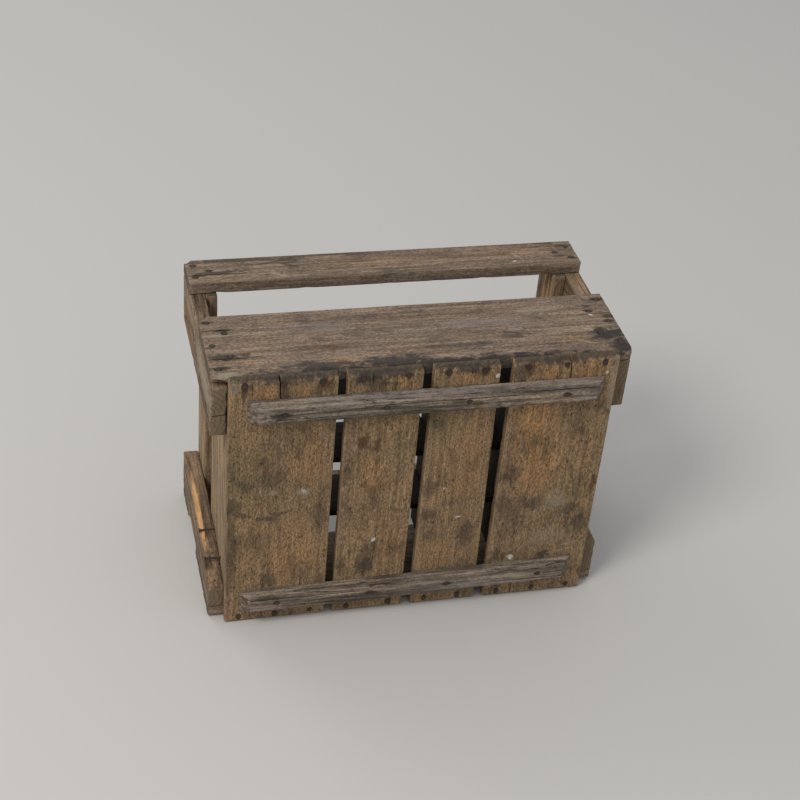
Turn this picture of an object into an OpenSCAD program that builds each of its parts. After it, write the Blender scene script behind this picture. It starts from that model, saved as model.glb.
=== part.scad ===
// Old nailed wooden bottle crate, standing on one of its long sides.
// +X runs along the crate, +Z up across it. The floor boards face -Y and the open mouth faces +Y.
// Inside the place() frame, x starts at the left end, y at the front edges of the side slats, z at the ground.

/* [Crate] */
// Length over the corner posts
crate_length = 500; // [450:1:550]
// Height as it stands, over both long sides
crate_height = 367; // [335:1:400]
// Depth of the walls, from the floor boards to the mouth
wall_depth = 249; // [225:1:280]

/* [Long sides] */
// Thickness of the side slats
slat_t = 17; // [14:0.5:20]
// Width of the wide slat beside the floor
wide_slat_w = 122; // [105:1:135]
// Width of the narrow slat at the mouth
narrow_slat_w = 53; // [45:1:65]
// Radius worn onto the outer front arris of the wide slats
worn_arris = 8; // [3:0.5:10]

/* [Ends] */
// Thickness of the corner posts
post_t = 20; // [16:0.5:26]
// Height of the corner posts
post_w = 67; // [58:1:72]
// Thickness of the end boards
end_board_t = 15; // [12:0.5:20]
// Width of the wide end boards beside the floor
wide_end_w = 126; // [105:1:135]
// Width of the narrow end boards at the mouth
narrow_end_w = 58; // [45:1:65]

/* [Floor] */
// Thickness of the floor boards
floor_t = 12.5; // [10:0.5:16]
// Distance from each end of the crate to the floor
floor_inset = 19; // [14:0.5:24]
// Distance from each long side to the ends of the floor boards
floor_end_inset = 0.5; // [0:0.5:3]
// Width of the first floor board, on the left
first_board_w = 125; // [110:1:140]
// Width of the second floor board
second_board_w = 89; // [75:1:100]
// Width of the third floor board at its lower end
third_board_w = 83; // [70:1:95]
// Gap between the first and second floor boards
first_gap = 10.5; // [5:0.5:14]
// Gap between the second and third floor boards
second_gap = 12; // [6:0.5:18]
// Gap between the third and fourth floor boards
third_gap = 12.5; // [6:0.5:18]
// How much narrower the third board is at its upper end
third_board_taper = 3.5; // [0:0.5:8]

/* [Runners] */
// Thickness of the runners on the floor
runner_t = 13.5; // [10:0.5:18]
// Width of the runners where they lie on the boards
runner_w = 30; // [24:1:36]
// Distance from the ends of the crate to the runners
runner_inset = 36; // [25:1:50]
// How far the upper runner sits to the right
upper_runner_shift = 3; // [0:0.5:8]
// How far the lower runner sits to the left
lower_runner_shift = 1; // [0:0.5:8]
// Distance from the top of the crate to the upper runner
upper_runner_set = 27; // [20:1:40]
// Distance from the ground to the middle of the lower runner's underside
lower_runner_set = 26; // [20:1:35]
// How much higher the lower runner's line is at the right end of the crate than at the left
lower_runner_rise = 10; // [0:1:12]
// Slope cut along the upper edge of a runner
runner_bevel = 5; // [2:0.5:8]
// Length of the slope at each end of a runner
runner_end_bevel = 14; // [6:1:20]

/* [Bottle lattice] */
// Bottles along the crate
columns = 5; // [4:1:5]
// Bottles across the crate
rows = 4; // [3:1:4]
// Thickness of the dividers
divider_t = 8; // [6:0.5:10]
// Width of the dividers
divider_w = 73; // [60:1:78]
// Distance from the floor boards to the dividers
divider_set = 62; // [50:1:70]
// Play in the halved joints between the dividers
lap_fit = 0.25; // [0.1:0.05:0.5]

/* [Nails] */
// Shank diameter of the nails
nail_d = 2.8; // [2.2:0.1:3.2]
// Head diameter of the nails
nail_head_d = 6; // [5:0.25:7]
// Head thickness of the nails
nail_head_t = 1.2; // [0.8:0.1:1.6]
// Length of the nails in the long sides
side_nail_len = 50; // [40:1:54]
// Length of the nails in the floor boards
floor_nail_len = 40; // [30:1:50]
// Length of the nails through the corner posts
post_nail_len = 32; // [28:1:33]
// Length of the nails in the runners
runner_nail_len = 23; // [18:1:24]
// Shank diameter of the brads that hold the dividers
brad_d = 2; // [1.6:0.1:2.4]
// Head diameter of the brads
brad_head_d = 4.2; // [3.5:0.1:5]
// Length of the brads
brad_len = 40; // [30:1:50]
// How far the heads are driven below the wood
nail_sink = 0.3; // [0.1:0.1:0.8]
// Clearance round a nail in its hole
nail_fit = 0.15; // [0.1:0.05:0.25]
// Distance from a slat's edge to its outer nails
nail_edge = 13.5; // [10:0.5:18]
// Distance from a wide end board's edges to the nails through the posts
post_nail_edge = 36; // [30:1:42]
// Distance from a floor board's edge to its nails
floor_nail_edge = 18; // [12:0.5:24]

/* [Hidden] */
$fn = 48;
cut_over = 1;
eased = 1.6;
tip_len = 5;
depth_mid = (wall_depth - floor_t - runner_t) / 2;

// Inner faces of the crate
inner_x0 = post_t + end_board_t;
inner_len = crate_length - 2 * inner_x0;
inner_height = crate_height - 2 * slat_t;
mouth_slat_y = wall_depth - narrow_slat_w;
mouth_end_y = wall_depth - narrow_end_w;

// Floor boards: left edge and width of each
floor_len = crate_height - 2 * floor_end_inset;
board_x = [
    floor_inset,
    floor_inset + first_board_w + first_gap,
    floor_inset + first_board_w + first_gap + second_board_w + second_gap,
    floor_inset + first_board_w + first_gap + second_board_w + second_gap + third_board_w + third_gap
];
board_w = [first_board_w, second_board_w, third_board_w, crate_length - floor_inset - board_x[3]];
// A floor board over this width has three nails at each end
three_nail_width = 105;

// Bottle cells
cell_x = (inner_len - (columns - 1) * divider_t) / columns;
cell_z = (inner_height - (rows - 1) * divider_t) / rows;

// Distances of the nails from the post's inner edge, and of the brads from the divider's and the end board's edges
post_nail_rise = 18;
brad_edge = 15;

// Splits in the upper ends of the first and last floor boards, from each board's left edge
first_split_x = 58;
last_split_x = 69;

wood_top = "#7d6f60";
wood_floor = "#8f7a58";
wood_runner = "#8a8070";
wood_end = "#86714f";
wood_divider = "#6f5c42";
iron = "#4b4038";

// Distance d in from the named end, and from the named long side
function end_x(end, d) = end == "left" ? d : crate_length - d;
function side_z(side, d) = side == "lower" ? d : crate_height - d;

module place() {
    translate([-crate_length / 2, -depth_mid, 0]) children();
}

// Rounding off of one corner at the origin, for a section that lies in +x +y
module corner_round(r) {
    difference() {
        translate([-cut_over, -cut_over]) square(r + cut_over);
        translate([r, r]) circle(r);
    }
}

// Section of a sawn board. r gives the radii worn onto its corners, counter-clockwise from the origin
module board_section(w, h, r) {
    difference() {
        square([w, h]);
        corner_round(r[0]);
        translate([w, 0]) rotate(90) corner_round(r[1]);
        translate([w, h]) rotate(180) corner_round(r[2]);
        translate([0, h]) rotate(270) corner_round(r[3]);
    }
}

function eased_all() = [eased, eased, eased, eased];

// Boards whose grain runs along x, y or z
module board_along_x(size, r) {
    rotate([90, 0, 90]) linear_extrude(size[0]) board_section(size[1], size[2], r);
}

module board_along_y(size, r) {
    translate([0, size[1], 0]) rotate([90, 0, 0]) linear_extrude(size[1]) board_section(size[0], size[2], r);
}

module board_along_z(size, r) {
    linear_extrude(size[2]) board_section(size[0], size[1], r);
}

// Nail driven along -z from a surface at the origin, its head just below the wood
module nail(length, shank_d, head_d) {
    translate([0, 0, -nail_sink]) {
        translate([0, 0, -nail_head_t]) cylinder(d = head_d, h = nail_head_t);
        translate([0, 0, tip_len - length]) cylinder(d = shank_d, h = length - tip_len);
        translate([0, 0, -length]) cylinder(d1 = shank_d / 4, d2 = shank_d, h = tip_len);
    }
}

module nail_hole(length, shank_d, head_d) {
    head_floor = nail_sink + nail_head_t;
    depth = length + nail_sink + nail_fit;
    translate([0, 0, -head_floor]) cylinder(d = head_d + 2 * nail_fit, h = head_floor + cut_over);
    translate([0, 0, -depth]) cylinder(d = shank_d + 2 * nail_fit, h = depth);
}

// Nails from a long side into the posts and the end boards, at one end
module at_side_nails(side, end) {
    turn = side == "lower" ? 180 : 0;
    wide_mid = wide_slat_w / 2;
    narrow_mid = wall_depth - narrow_slat_w / 2;
    post_rows = [nail_edge, wide_mid, wide_slat_w - nail_edge, mouth_slat_y + nail_edge, wall_depth - nail_edge];
    board_rows = [(nail_edge + wide_mid) / 2, wide_slat_w - (nail_edge + wide_mid) / 2, narrow_mid];
    for (y = post_rows) {
        translate([end_x(end, post_t / 2), y, side_z(side, 0)]) rotate([turn, 0, 0]) children();
    }
    for (y = board_rows) {
        translate([end_x(end, post_t + end_board_t / 2), y, side_z(side, 0)]) rotate([turn, 0, 0]) children();
    }
}

// Nails from the posts into the end boards, at one corner
module at_post_nails(side, end) {
    turn = end == "left" ? -90 : 90;
    z = side_z(side, slat_t + post_w - post_nail_rise);
    for (y = [post_nail_edge, wide_end_w - post_nail_edge, wall_depth - narrow_end_w / 2]) {
        translate([end_x(end, 0), y, z]) rotate([0, turn, 0]) children();
    }
}

// Nails from one floor board into the front edge of a long side
module at_floor_nails(side, board) {
    z = side_z(side, slat_t / 2);
    x0 = board_x[board] + floor_nail_edge;
    span = board_w[board] - 2 * floor_nail_edge - (board == 2 ? third_board_taper : 0);
    steps = board_w[board] > three_nail_width ? 2 : 1;
    for (i = [0:steps]) {
        translate([x0 + span * i / steps, -floor_t, z]) rotate([90, 0, 0]) children();
    }
}

// The middle of a runner's back, turned to the runner's own slope
module at_runner(side) {
    set = side == "upper" ? upper_runner_set : lower_runner_set;
    slope = side == "upper" ? 0 : atan(lower_runner_rise / crate_length);
    translate([crate_length / 2, -floor_t, side_z(side, set + runner_w / 2)]) rotate([0, -slope, 0]) children();
}

// Nail from a runner into one floor board
module at_runner_nail(side, board) {
    x = board_x[board] + (board_w[board] - crate_length) / 2;
    at_runner(side) translate([x, -runner_t, 0]) rotate([90, 0, 0]) children();
}

// Brads from one end board into the end of one long divider
module at_brads(end, row) {
    turn = end == "left" ? -90 : 90;
    z = slat_t + row * (cell_z + divider_t) - divider_t / 2;
    for (y = [divider_set + brad_edge, wide_end_w - brad_edge]) {
        translate([end_x(end, post_t), y, z]) rotate([0, turn, 0]) children();
    }
}

module side_nail_holes(side, end) {
    at_side_nails(side, end) nail_hole(side_nail_len, nail_d, nail_head_d);
}

module post_nail_holes(side, end) {
    at_post_nails(side, end) nail_hole(post_nail_len, nail_d, nail_head_d);
}

module floor_nail_holes(side) {
    for (board = [0:3]) at_floor_nails(side, board) nail_hole(floor_nail_len, nail_d, nail_head_d);
}

// Split that runs into the upper end of a floor board, as a wedge that closes downwards
module end_split(x, opening, length, lean) {
    translate([x, cut_over, floor_end_inset + floor_len]) rotate([90, 0, 0]) {
        linear_extrude(floor_t + 2 * cut_over) {
            polygon([
                [-opening / 2, cut_over],
                [opening / 2, cut_over],
                [lean + 0.15, -length],
                [lean - 0.15, -length]
            ]);
        }
    }
}

// Worn upper corner of the floor, at the named end
module floor_corner_wear(end, r) {
    translate([end_x(end, floor_inset), cut_over, floor_end_inset + floor_len]) {
        rotate([90, 0, 0]) linear_extrude(floor_t + 2 * cut_over) {
            rotate(end == "left" ? 270 : 180) corner_round(r);
        }
    }
}

// Outer arris worn off both ends of the floor boards
module floor_end_wear() {
    lower_wear = 2.5;
    upper_wear = 4.5;
    for (end = [[floor_end_inset, lower_wear], [floor_end_inset + floor_len, upper_wear]]) {
        side = end[1] * sqrt(2);
        translate([0, -floor_t, end[0]]) rotate([45, 0, 0]) cube([2 * crate_length, side, side], center = true);
    }
}

module floor_board(board) {
    color(wood_floor) place() difference() {
        translate([board_x[board], -floor_t, floor_end_inset]) {
            board_along_z([board_w[board], floor_t, floor_len], eased_all());
        }
        if (board == 2) {
            translate([board_x[2] + third_board_w, cut_over, floor_end_inset]) rotate([90, 0, 0]) {
                linear_extrude(floor_t + 2 * cut_over) {
                    polygon([
                        [0, 0],
                        [cut_over, 0],
                        [cut_over, floor_len + cut_over],
                        [-third_board_taper, floor_len + cut_over],
                        [-third_board_taper, floor_len]
                    ]);
                }
            }
        }
        if (board == 0) {
            end_split(board_x[0] + first_split_x, 1.8, 28, 0.5);
            floor_corner_wear("left", 7);
        }
        if (board == 3) {
            end_split(board_x[3] + last_split_x, 1.6, 34, 3.5);
            floor_corner_wear("right", 4);
        }
        floor_end_wear();
        for (side = ["upper", "lower"]) {
            at_floor_nails(side, board) nail_hole(floor_nail_len, nail_d, nail_head_d);
            at_runner_nail(side, board) nail_hole(runner_nail_len, nail_d, nail_head_d);
        }
    }
}

// Runner with a sloped upper edge and sloped ends, its back on the floor boards
module runner(side) {
    shift = side == "upper" ? upper_runner_shift : -lower_runner_shift;
    length = crate_length - 2 * runner_inset;
    lower_bevel = 3;
    color(wood_runner) place() difference() {
        at_runner(side) translate([shift - length / 2, 0, -runner_w / 2]) intersection() {
            rotate([90, 0, 90]) linear_extrude(length) {
                polygon([[0, 0], [0, runner_w], [-runner_t, runner_w - runner_bevel], [-runner_t, lower_bevel]]);
            }
            linear_extrude(runner_w) {
                polygon([[0, 0], [runner_end_bevel, -runner_t], [length - runner_end_bevel, -runner_t], [length, 0]]);
            }
        }
        for (board = [0:3]) at_runner_nail(side, board) nail_hole(runner_nail_len, nail_d, nail_head_d);
    }
}

// Break at the left end of the upper wide slat, open to the front and below
module broken_front_corner() {
    translate([0, 12, crate_height - slat_t]) rotate([0, 0, -8]) rotate([90, 0, 0]) {
        linear_extrude(18) polygon([[-6, -cut_over], [26, -cut_over], [22, 4], [16, 10], [7, 12.5], [-6, 12]]);
    }
}

// Corner knocked off the far left end of the upper wide slat
module broken_far_corner() {
    translate([0, wide_slat_w, crate_height - slat_t - cut_over]) {
        linear_extrude(slat_t + 2 * cut_over) {
            polygon([[-cut_over, -19], [2, -15], [3.5, -8], [9, -4.5], [10, cut_over], [-cut_over, cut_over]]);
        }
    }
}

// Corner splintered off the top of the upper narrow slat at the left end of the mouth
module chipped_mouth_corner() {
    chip_depth = 4;
    translate([0, wall_depth, crate_height - chip_depth]) rotate([-8, 6, 0]) {
        linear_extrude(chip_depth + 6) {
            polygon([[-6, -15], [1, -12], [2.5, -7], [6, -3.5], [9, 3], [-6, 3]]);
        }
    }
}

module side_slat(side, y0, w, outer_r) {
    r = side == "upper" ? [eased, eased, eased, outer_r] : [outer_r, eased, eased, eased];
    translate([0, y0, side_z(side, side == "upper" ? slat_t : 0)]) board_along_x([crate_length, w, slat_t], r);
}

module side_slat_wide(side) {
    color(wood_top) place() difference() {
        side_slat(side, 0, wide_slat_w, worn_arris);
        for (end = ["left", "right"]) side_nail_holes(side, end);
        floor_nail_holes(side);
        if (side == "upper") {
            broken_front_corner();
            broken_far_corner();
        }
    }
}

module side_slat_narrow(side) {
    color(wood_top) place() difference() {
        side_slat(side, mouth_slat_y, narrow_slat_w, 3);
        for (end = ["left", "right"]) side_nail_holes(side, end);
        if (side == "upper") chipped_mouth_corner();
    }
}

// Open check in the front end grain of a post
module end_check(z) {
    check_depth = 12;
    translate([-cut_over, -cut_over, z]) rotate([0, -4, 0]) cube([post_t + 2 * cut_over, check_depth, 1.2]);
}

// Upper edge of the lower left post, worn down towards the floor. Heights are drops from the post's top
module worn_post_top() {
    top = slat_t + post_w;
    translate([-cut_over, 0, top]) rotate([90, 0, 90]) linear_extrude(post_t + 2 * cut_over) {
        polygon([
            [-cut_over, cut_over],
            [-cut_over, -38.5],
            [14, -33],
            [42, -24.5],
            [74, -19],
            [102, -16.5],
            [150, -14],
            [209, -11.5],
            [wall_depth + cut_over, -14],
            [wall_depth + cut_over, cut_over]
        ]);
    }
}

// Long splinter torn off the outer upper arris of the lower left post
module torn_arris() {
    start_y = 46;
    drop = -22;
    rise_angle = 4.2;
    translate([0, start_y, slat_t + post_w + drop]) rotate([rise_angle, 0, 0]) rotate([0, -45, 0]) {
        rotate([90, 0, 90]) linear_extrude(40, center = true) {
            polygon([[0, 12], [0, 0.4], [25, -3], [70, -5], [120, -4], [162, 0.4], [162, 12]]);
        }
    }
}

// Outer upper corner sheared off the front of the lower right post
module sheared_corner() {
    translate([crate_length, 0, slat_t + post_w]) rotate([-6, 0, -4]) {
        translate([0, 70, 0]) rotate([90, 0, 0]) linear_extrude(80) {
            polygon([[-12, 1], [-7, -6], [1, -21], [14, -21], [14, 14], [-12, 14]]);
        }
    }
}

module corner_post(side, end) {
    z0 = side == "upper" ? crate_height - slat_t - post_w : slat_t;
    color(wood_end) place() difference() {
        translate([end == "left" ? 0 : crate_length - post_t, 0, z0]) {
            board_along_y([post_t, wall_depth, post_w], eased_all());
        }
        side_nail_holes(side, end);
        post_nail_holes(side, end);
        if (side == "upper" && end == "left") end_check(z0 + 27);
        if (side == "lower" && end == "left") {
            worn_post_top();
            torn_arris();
        }
        if (side == "lower" && end == "right") sheared_corner();
    }
}

module end_board(end, y0, w) {
    color(wood_end) place() difference() {
        translate([end == "left" ? post_t : crate_length - inner_x0, y0, slat_t]) {
            board_along_z([end_board_t, w, inner_height], eased_all());
        }
        for (side = ["upper", "lower"]) {
            side_nail_holes(side, end);
            post_nail_holes(side, end);
        }
        for (row = [1:rows - 1]) at_brads(end, row) nail_hole(brad_len, brad_d, brad_head_d);
    }
}

// Half of a halved joint: a notch for a board of the divider's thickness, with play on each side
module lap_notch(size) {
    cube([size[0] + 2 * lap_fit, size[1], size[2] + 2 * lap_fit], center = true);
}

// Divider along the crate, notched from the mouth side for the cross dividers
module long_divider(row) {
    z0 = slat_t + row * cell_z + (row - 1) * divider_t;
    notch_y = divider_w / 2 + lap_fit / 2 + cut_over;
    color(wood_divider) place() difference() {
        translate([inner_x0, divider_set, z0]) board_along_x([inner_len, divider_w, divider_t], eased_all());
        for (column = [1:columns - 1]) {
            x = inner_x0 + column * (cell_x + divider_t) - divider_t / 2;
            translate([x, divider_set + divider_w + cut_over - notch_y / 2, z0 + divider_t / 2]) {
                lap_notch([divider_t, notch_y, divider_t + cut_over]);
            }
        }
        for (end = ["left", "right"]) at_brads(end, row) nail_hole(brad_len, brad_d, brad_head_d);
    }
}

// Divider across the crate, notched from the floor side for the long dividers
module cross_divider(column) {
    x0 = inner_x0 + column * cell_x + (column - 1) * divider_t;
    notch_y = divider_w / 2 + lap_fit / 2 + cut_over;
    color(wood_divider) place() difference() {
        translate([x0, divider_set, slat_t]) board_along_z([divider_t, divider_w, inner_height], eased_all());
        for (row = [1:rows - 1]) {
            z = slat_t + row * (cell_z + divider_t) - divider_t / 2;
            translate([x0 + divider_t / 2, divider_set - cut_over + notch_y / 2, z]) {
                lap_notch([divider_t + cut_over, notch_y, divider_t]);
            }
        }
    }
}

module floor_nails() {
    color(iron) place() for (side = ["upper", "lower"], board = [0:3]) {
        at_floor_nails(side, board) nail(floor_nail_len, nail_d, nail_head_d);
    }
}

module runner_nails() {
    color(iron) place() for (side = ["upper", "lower"], board = [0:3]) {
        at_runner_nail(side, board) nail(runner_nail_len, nail_d, nail_head_d);
    }
}

module side_nails(side) {
    color(iron) place() for (end = ["left", "right"]) {
        at_side_nails(side, end) nail(side_nail_len, nail_d, nail_head_d);
    }
}

module post_nails() {
    color(iron) place() for (side = ["upper", "lower"], end = ["left", "right"]) {
        at_post_nails(side, end) nail(post_nail_len, nail_d, nail_head_d);
    }
}

module divider_brads() {
    color(iron) place() for (end = ["left", "right"], row = [1:rows - 1]) {
        at_brads(end, row) nail(brad_len, brad_d, brad_head_d);
    }
}

for (i = [1:4]) floor_board(i - 1);
runner("upper");  // runner_upper
runner("lower");  // runner_lower
side_slat_wide("upper");  // side_slat_wide_upper
side_slat_narrow("upper");  // side_slat_narrow_upper
side_slat_wide("lower");  // side_slat_wide_lower
side_slat_narrow("lower");  // side_slat_narrow_lower
corner_post("upper", "left");  // post_upper_left
corner_post("upper", "right");  // post_upper_right
corner_post("lower", "left");  // post_lower_left
corner_post("lower", "right");  // post_lower_right
end_board("left", 0, wide_end_w);  // end_board_wide_left
end_board("left", mouth_end_y, narrow_end_w);  // end_board_narrow_left
end_board("right", 0, wide_end_w);  // end_board_wide_right
end_board("right", mouth_end_y, narrow_end_w);  // end_board_narrow_right
for (i = [1:rows - 1]) long_divider(i);
for (i = [1:columns - 1]) cross_divider(i);
floor_nails();
runner_nails();
side_nails("upper");  // side_nails_upper
side_nails("lower");  // side_nails_lower
post_nails();
divider_brads();
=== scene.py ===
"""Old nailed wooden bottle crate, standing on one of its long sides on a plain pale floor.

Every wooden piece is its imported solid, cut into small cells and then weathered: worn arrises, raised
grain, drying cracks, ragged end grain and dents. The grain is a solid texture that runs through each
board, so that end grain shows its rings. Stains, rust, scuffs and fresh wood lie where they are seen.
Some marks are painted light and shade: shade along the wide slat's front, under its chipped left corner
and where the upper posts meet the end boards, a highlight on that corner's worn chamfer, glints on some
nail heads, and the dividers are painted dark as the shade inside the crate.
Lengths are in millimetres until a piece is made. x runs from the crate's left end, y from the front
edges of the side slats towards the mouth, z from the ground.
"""

import math

import bmesh
import bpy
import numpy as np
from mathutils import Matrix, Vector


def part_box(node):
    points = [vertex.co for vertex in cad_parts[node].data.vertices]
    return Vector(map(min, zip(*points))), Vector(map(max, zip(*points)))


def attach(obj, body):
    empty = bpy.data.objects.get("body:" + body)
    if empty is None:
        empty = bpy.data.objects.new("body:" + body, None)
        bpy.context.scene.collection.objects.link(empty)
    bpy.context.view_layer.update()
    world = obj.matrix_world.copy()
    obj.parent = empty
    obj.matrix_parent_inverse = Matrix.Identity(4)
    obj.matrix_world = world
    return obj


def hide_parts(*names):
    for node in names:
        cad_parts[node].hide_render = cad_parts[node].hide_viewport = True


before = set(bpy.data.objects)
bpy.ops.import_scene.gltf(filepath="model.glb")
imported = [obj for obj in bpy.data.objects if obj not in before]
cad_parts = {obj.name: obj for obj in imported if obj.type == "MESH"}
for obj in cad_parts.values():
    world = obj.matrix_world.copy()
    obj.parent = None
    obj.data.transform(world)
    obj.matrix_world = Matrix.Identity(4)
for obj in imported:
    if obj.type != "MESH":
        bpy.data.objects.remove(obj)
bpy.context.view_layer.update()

MM = 0.001
SLAT_LOW, SLAT_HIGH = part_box("side_slat_wide_upper")
POST_LOW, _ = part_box("post_upper_left")
FLOOR_LOW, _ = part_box("floor_board_1")
RUNNER_LOW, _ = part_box("runner_upper")
ORIGIN = np.array([POST_LOW.x, SLAT_LOW.y, 0.0])
LENGTH = (SLAT_HIGH.x - SLAT_LOW.x) / MM
HEIGHT = SLAT_HIGH.z / MM
FLOOR_FACE = (FLOOR_LOW.y - SLAT_LOW.y) / MM
RUNNER_FACE = (RUNNER_LOW.y - SLAT_LOW.y) / MM
X, Y, Z = 0, 1, 2
AXES = np.eye(3)

# How finely a board is cut: spacing of the planes, and where the close ones near each face lie
END_PLANES = (2.0, 5.0)
SIDE_PLANES = (1.2, 2.6, 4.4)
CRACK_PLANES = (-1.1, 0.0, 1.1)
PLANE_GAP = 0.6
SNAP, SNAP_STEP = 0.18, 1.6
FLAT_ANGLE = math.radians(0.4)
CREASE_ANGLE = math.radians(38)


# Noise on many points at once

def noise(p, cell, seed):
    """Smooth noise from -1 to 1 at the points p, with one value at each corner of a grid of cells."""
    q = p / np.asarray(cell, float)
    base = np.floor(q)
    f = q - base
    f = f * f * (3 - 2 * f)
    base = base.astype(np.int64)
    base -= base.min(0)
    size = base.max(0) + 2
    table = np.random.RandomState(seed).uniform(-1, 1, int(size.prod()))
    start = (base[:, 0] * size[1] + base[:, 1]) * size[2] + base[:, 2]
    total = np.zeros(len(p))
    for di in (0, 1):
        for dj in (0, 1):
            at = start + (di * size[1] + dj) * size[2]
            low, high = table[at], table[at + 1]
            w = (f[:, 0] if di else 1 - f[:, 0]) * (f[:, 1] if dj else 1 - f[:, 1])
            total += w * (low + (high - low) * f[:, 2])
    return total


def layered(p, cell, seed, layers=3, fade=0.5):
    """Noise with finer and weaker layers on top of it."""
    total, weight, size = np.zeros(len(p)), 1.0, np.asarray(cell, float)
    for layer in range(layers):
        total += weight * noise(p, size, seed + 31 * layer)
        weight, size = weight * fade, size / 2
    return total


def smooth_step(x, low, high):
    """Rises smoothly from 0 at low to 1 at high."""
    t = np.clip((x - low) / (high - low), 0, 1)
    return t * t * (3 - 2 * t)


# Reading a closed mesh, and cutting it into cells without changing its surface

def read_mesh(obj):
    """Welded vertices in millimetres, and triangles, of a CAD node."""
    mesh = obj.data
    mesh.calc_loop_triangles()
    co = np.zeros(len(mesh.vertices) * 3)
    mesh.vertices.foreach_get("co", co)
    tris = np.zeros(len(mesh.loop_triangles) * 3, np.int64)
    mesh.loop_triangles.foreach_get("vertices", tris)
    p = (co.reshape(-1, 3) - ORIGIN) / MM
    _, first, index = np.unique(np.round(p, 3), axis=0, return_index=True, return_inverse=True)
    tris = index.reshape(-1)[tris].reshape(-1, 3)
    whole = (tris[:, 0] != tris[:, 1]) & (tris[:, 1] != tris[:, 2]) & (tris[:, 2] != tris[:, 0])
    return p[first], tris[whole]


def cut_places(low, high, step, near, extra):
    """Cuts a step apart, with closer ones near both faces and at the extra places."""
    middle = np.linspace(low, high, max(2, int(round((high - low) / step)) + 1))[1:-1]
    inside = [v for v in middle if low + near[-1] + 0.4 * step < v < high - near[-1] - 0.4 * step]
    inside = [v for v in inside if all(abs(v - e) > PLANE_GAP for e in extra)]
    edges = [v for n in near if 2 * n < high - low for v in (low + n, high - n)]
    return sorted(set(inside + edges + list(extra)))


def cut_into_cells(obj, axis, along, across, extra):
    """The surface of a CAD node in millimetres, cut into small cells by planes across each axis."""
    cut = bmesh.new()
    cut.from_mesh(obj.data)
    to_crate = Matrix.Scale(1 / MM, 4) @ Matrix.Translation(Vector(-ORIGIN))
    bmesh.ops.transform(cut, matrix=to_crate, verts=cut.verts)
    bmesh.ops.remove_doubles(cut, verts=cut.verts, dist=1e-3)
    bmesh.ops.dissolve_limit(cut, angle_limit=FLAT_ANGLE, verts=cut.verts, edges=cut.edges)
    corners = np.array([v.co for v in cut.verts])
    low, high = corners.min(0), corners.max(0)
    for a in (X, Y, Z):
        step = along if a == axis else across
        near = END_PLANES if a == axis else SIDE_PLANES
        snap = SNAP * min(step, SNAP_STEP)
        facing = Vector(AXES[a])
        for value in cut_places(low[a], high[a], step, near, extra.get(a, ())):
            parts = cut.verts[:] + cut.edges[:] + cut.faces[:]
            bmesh.ops.bisect_plane(cut, geom=parts, dist=snap, plane_co=facing * value, plane_no=facing)
    bmesh.ops.triangulate(cut, faces=cut.faces)
    mesh = bpy.data.meshes.new("cells")
    cut.to_mesh(mesh)
    cut.free()
    p = np.zeros(len(mesh.vertices) * 3)
    mesh.vertices.foreach_get("co", p)
    tris = np.zeros(len(mesh.polygons) * 3, np.int64)
    mesh.loops.foreach_get("vertex_index", tris)
    bpy.data.meshes.remove(mesh)
    return p.reshape(-1, 3), tris.reshape(-1, 3), low, high


def summed(index, values, count):
    """Adds up the rows of values that share an index."""
    return np.stack([np.bincount(index, values[:, n], count) for n in range(values.shape[1])], 1)


def vertex_normals(p, tris):
    """Each vertex's normal, from its triangles by their area."""
    n = np.cross(p[tris[:, 1]] - p[tris[:, 0]], p[tris[:, 2]] - p[tris[:, 0]])
    total = summed(tris.T.ravel(), np.tile(n, (3, 1)), len(p))
    length = np.sqrt((total * total).sum(1))
    return total / np.maximum(length, 1e-9)[:, None]


# Weathering

def round_arrises(p, low, high, axis, radius, seed):
    """Wears the arrises of a board down to an uneven radius, with dents. Returns each vertex's wear."""
    wear = np.zeros(len(p))
    dent_size = [12.0 if n == axis else 7.0 for n in range(3)]
    for i, j in ((X, Y), (Y, Z), (Z, X)):
        third = 3 - i - j
        di = np.minimum(p[:, i] - low[i], high[i] - p[:, i])
        dj = np.minimum(p[:, j] - low[j], high[j] - p[:, j])
        at = np.flatnonzero((di < 4 * radius) & (dj < 4 * radius) & (di > -0.01) & (dj > -0.01))
        if not len(at):
            continue
        q, di, dj = p[at], di[at], dj[at]
        swell_size = [5.0, 5.0, 5.0]
        swell_size[third] = 34.0 if third == axis else 9.0
        swell = 0.55 + 0.5 * noise(q, swell_size, seed + 7 * third)
        dent = smooth_step(noise(q, dent_size, seed + 90 + third), 0.42, 0.85)
        r = np.maximum(0.5, radius * (swell + 1.5 * dent))
        a, b = r - di, r - dj
        reach = np.sqrt(a * a + b * b)
        out = (di < r) & (dj < r) & (reach > r)
        for k, d in ((i, a), (j, b)):
            inward = np.where(q[:, k] < (low[k] + high[k]) / 2, 1.0, -1.0)
            p[at[out], k] += (inward * d * (1 - r / np.maximum(reach, 1e-9)))[out]
        wear[at] = np.maximum(wear[at], smooth_step(r * 1.7 - np.sqrt(di * di + dj * dj), 0, r))
    return wear


def soften(p, tris, wear, rounds=2):
    """Draws sharp outward corners in, wherever they lie, and marks them as worn."""
    start = np.concatenate([tris[:, 0], tris[:, 1], tris[:, 2]])
    end = np.concatenate([tris[:, 1], tris[:, 2], tris[:, 0]])
    count = np.bincount(start, minlength=len(p))
    for _ in range(rounds):
        normals = vertex_normals(p, tris)
        pull = summed(start, p[end], len(p)) / np.maximum(count, 1)[:, None] - p
        inward = -(pull * normals).sum(1)
        moved = inward > 0.12
        p[moved] += 0.45 * pull[moved]
        wear[moved] = np.maximum(wear[moved], 0.6)
    return p


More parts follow.
